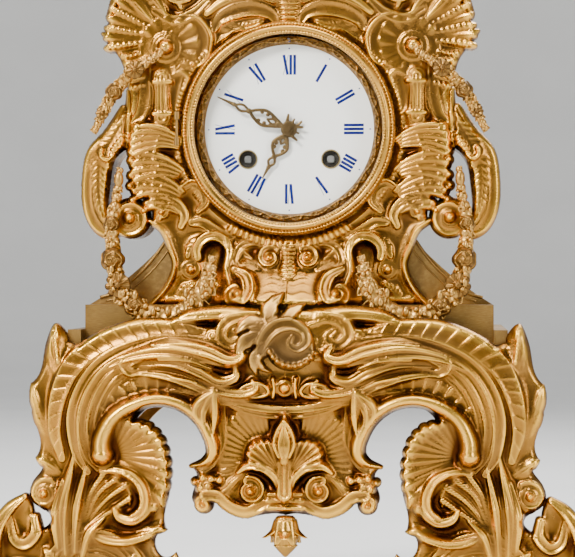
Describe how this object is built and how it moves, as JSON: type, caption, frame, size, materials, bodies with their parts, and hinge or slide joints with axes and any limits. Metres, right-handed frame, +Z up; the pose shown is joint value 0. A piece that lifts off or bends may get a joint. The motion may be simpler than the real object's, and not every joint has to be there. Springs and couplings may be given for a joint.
{
  "type": "mantel clock",
  "caption": "Rococo gilt-bronze mantel clock: scrolled case on an arched four-foot base, round enamel dial with pierced hands, hinged glazed bezel and a striking pendulum movement.",
  "frame": {"origin": "on the shelf, under the middle of the clock", "axes": "+Z up; the dial faces -Y; +X is to the right of someone looking at the dial"},
  "size_m": [0.3176, 0.172, 0.456],
  "materials": {
    "gilt_bronze": "fire-gilt, burnished highlights and matte grounds",
    "gilt_bronze_dark": "worn gilding, browner",
    "satin_gilt": "satin, greyed gilding",
    "polished_brass": "polished",
    "bell_metal": "polished bell bronze",
    "bronze_hands": "patinated bronze",
    "blued_steel": "blued",
    "bright_steel": "polished",
    "white_enamel": "vitreous enamel, blue numerals",
    "glass": "clear, domed"
  },
  "bodies": {
    "case": {"apron_pendant": "gilt_bronze_dark", "back_plate": "polished_brass", "base_back_casting": "gilt_bronze", "base_front_casting": "gilt_bronze", "base_side_left": "satin_gilt", "base_side_right": "satin_gilt", "bell": "bell_metal", "bell_nut": "polished_brass", "bell_stand": "bright_steel", "bezel_hinge": "satin_gilt", "cartouche_ornament": "gilt_bronze_dark", "case_back_plate": "satin_gilt", "case_bolts": "bright_steel", "case_shell": "satin_gilt", "clicks": "blued_steel", "crest_finial": "gilt_bronze", "dial_enamel": "white_enamel", "dial_plate": "polished_brass", "door_hinge": "satin_gilt", "feet": "gilt_bronze", "front_plate": "polished_brass", "garland_lower_left": "gilt_bronze_dark", "garland_lower_right": "gilt_bronze_dark", "garland_upper_left": "gilt_bronze_dark", "garland_upper_right": "gilt_bronze_dark", "handle_scroll_left": "gilt_bronze", "handle_scroll_right": "gilt_bronze", "movement_straps": "bright_steel", "plate_pillars": "polished_brass", "plinth_platform": "satin_gilt", "sight_ring": "gilt_bronze", "suspension_cock": "polished_brass", "upper_front_casting": "gilt_bronze", "winding_eyelets": "polished_brass"},
    "bezel": {"bezel_ring": "gilt_bronze", "bezel_glass": "glass"},
    "rear_door": {"back_door": "satin_gilt"},
    "centre_arbor": {"centre_wheel": "polished_brass", "cannon_pinion": "bright_steel", "minute_hand": "bronze_hands", "hand_nut": "bronze_hands"},
    "hour": {"hour_wheel": "polished_brass", "hour_hand": "bronze_hands"},
    "motion_wheel": {"minute_wheel": "polished_brass"},
    "time_barrel": {"time_barrel": "polished_brass"},
    "second_wheel": {"second_wheel": "polished_brass"},
    "third_wheel": {"third_wheel": "polished_brass"},
    "escape_wheel": {"escape_wheel": "polished_brass"},
    "time_winding": {"time_winding_arbor": "bright_steel"},
    "strike_winding": {"strike_winding_arbor": "bright_steel"},
    "strike_second": {"strike_second_wheel": "polished_brass", "count_wheel": "bright_steel"},
    "strike_barrel": {"strike_barrel": "polished_brass"},
    "pin_wheel": {"pin_wheel": "polished_brass"},
    "fly": {"fly": "polished_brass"},
    "hammer": {"hammer": "bright_steel"},
    "pendulum": {"pendulum_rod": "bright_steel", "pendulum_bob": "polished_brass"},
    "verge": {"verge": "bright_steel"},
    "regulator": {"regulator_arbor": "bright_steel"}
  },
  "joints": [
    {"name": "bezel_open", "type": "hinge", "parent": "case", "child": "bezel", "pos_m": [-0.0594, -0.0576, 0.272], "axis": [0, 0, -1], "range_deg": [0, 90]},
    {"name": "back_door_open", "type": "hinge", "parent": "case", "child": "rear_door", "pos_m": [0.0544, 0.052, 0.272], "axis": [0, 0, -1], "range_deg": [0, 110]},
    {"name": "minute_turn", "type": "hinge", "parent": "case", "child": "centre_arbor", "pos_m": [0, 0, 0.272], "axis": [0, 1, 0], "continuous": true},
    {"name": "hour_turn", "type": "hinge", "parent": "case", "child": "hour", "pos_m": [0, 0, 0.272], "axis": [0, 1, 0], "continuous": true},
    {"name": "minute_wheel_turn", "type": "hinge", "parent": "case", "child": "motion_wheel", "pos_m": [-0.00771, 0, 0.28119], "axis": [0, 1, 0], "continuous": true},
    {"name": "time_barrel_turn", "type": "hinge", "parent": "case", "child": "time_barrel", "pos_m": [0.0223, 0, 0.256], "axis": [0, 1, 0], "continuous": true},
    {"name": "second_wheel_turn", "type": "hinge", "parent": "case", "child": "second_wheel", "pos_m": [0.0143, 0, 0.27542], "axis": [0, 1, 0], "continuous": true},
    {"name": "third_wheel_turn", "type": "hinge", "parent": "case", "child": "third_wheel", "pos_m": [0.00109, 0, 0.28666], "axis": [0, 1, 0], "continuous": true},
    {"name": "escape_wheel_turn", "type": "hinge", "parent": "case", "child": "escape_wheel", "pos_m": [-0.005, 0, 0.297], "axis": [0, 1, 0], "continuous": true},
    {"name": "time_winding", "type": "hinge", "parent": "case", "child": "time_winding", "pos_m": [0.0223, 0, 0.256], "axis": [0, 1, 0], "range_deg": [0, 1980]},
    {"name": "strike_winding", "type": "hinge", "parent": "case", "child": "strike_winding", "pos_m": [-0.0223, 0, 0.256], "axis": [0, 1, 0], "range_deg": [0, 1980]},
    {"name": "strike_second_turn", "type": "hinge", "parent": "case", "child": "strike_second", "pos_m": [-0.0143, 0, 0.27542], "axis": [0, 1, 0], "continuous": true},
    {"name": "strike_barrel_turn", "type": "hinge", "parent": "case", "child": "strike_barrel", "pos_m": [-0.0223, 0, 0.256], "axis": [0, 1, 0], "continuous": true},
    {"name": "pin_wheel_turn", "type": "hinge", "parent": "case", "child": "pin_wheel", "pos_m": [-0.01673, 0, 0.2892], "axis": [0, 1, 0], "continuous": true},
    {"name": "fly_turn", "type": "hinge", "parent": "case", "child": "fly", "pos_m": [-0.02556, 0, 0.2943], "axis": [0, 1, 0], "continuous": true},
    {"name": "hammer_lift", "type": "hinge", "parent": "case", "child": "hammer", "pos_m": [0.037, 0, 0.248], "axis": [0, 1, 0], "range_deg": [0, 12], "stiffness_Nm_per_rad": 0.05},
    {"name": "pendulum_swing", "type": "hinge", "parent": "case", "child": "pendulum", "pos_m": [0, 0, 0.308], "axis": [0, 1, 0], "range_deg": [-3.5, 3.5]},
    {"name": "verge_rock", "type": "hinge", "parent": "case", "child": "verge", "pos_m": [0, 0, 0.308], "axis": [0, 1, 0], "range_deg": [-3.5, 3.5]},
    {"name": "regulator_turn", "type": "hinge", "parent": "case", "child": "regulator", "pos_m": [0, 0, 0.3197], "axis": [0, 1, 0], "range_deg": [-180, 180]}
  ],
  "couplings": [
    {"joint": "hour_turn", "follows": "minute_turn", "ratio": 0.083333},
    {"joint": "minute_wheel_turn", "follows": "minute_turn", "ratio": -0.33333},
    {"joint": "time_barrel_turn", "follows": "minute_turn", "ratio": 0.027778},
    {"joint": "second_wheel_turn", "follows": "minute_turn", "ratio": -0.16667},
    {"joint": "third_wheel_turn", "follows": "minute_turn", "ratio": -11.25},
    {"joint": "escape_wheel_turn", "follows": "minute_turn", "ratio": 123.75},
    {"joint": "strike_barrel_turn", "follows": "strike_second_turn", "ratio": -0.16667},
    {"joint": "pin_wheel_turn", "follows": "strike_second_turn", "ratio": -9},
    {"joint": "fly_turn", "follows": "strike_second_turn", "ratio": 67.5},
    {"joint": "verge_rock", "follows": "pendulum_swing", "ratio": 1}
  ]
}
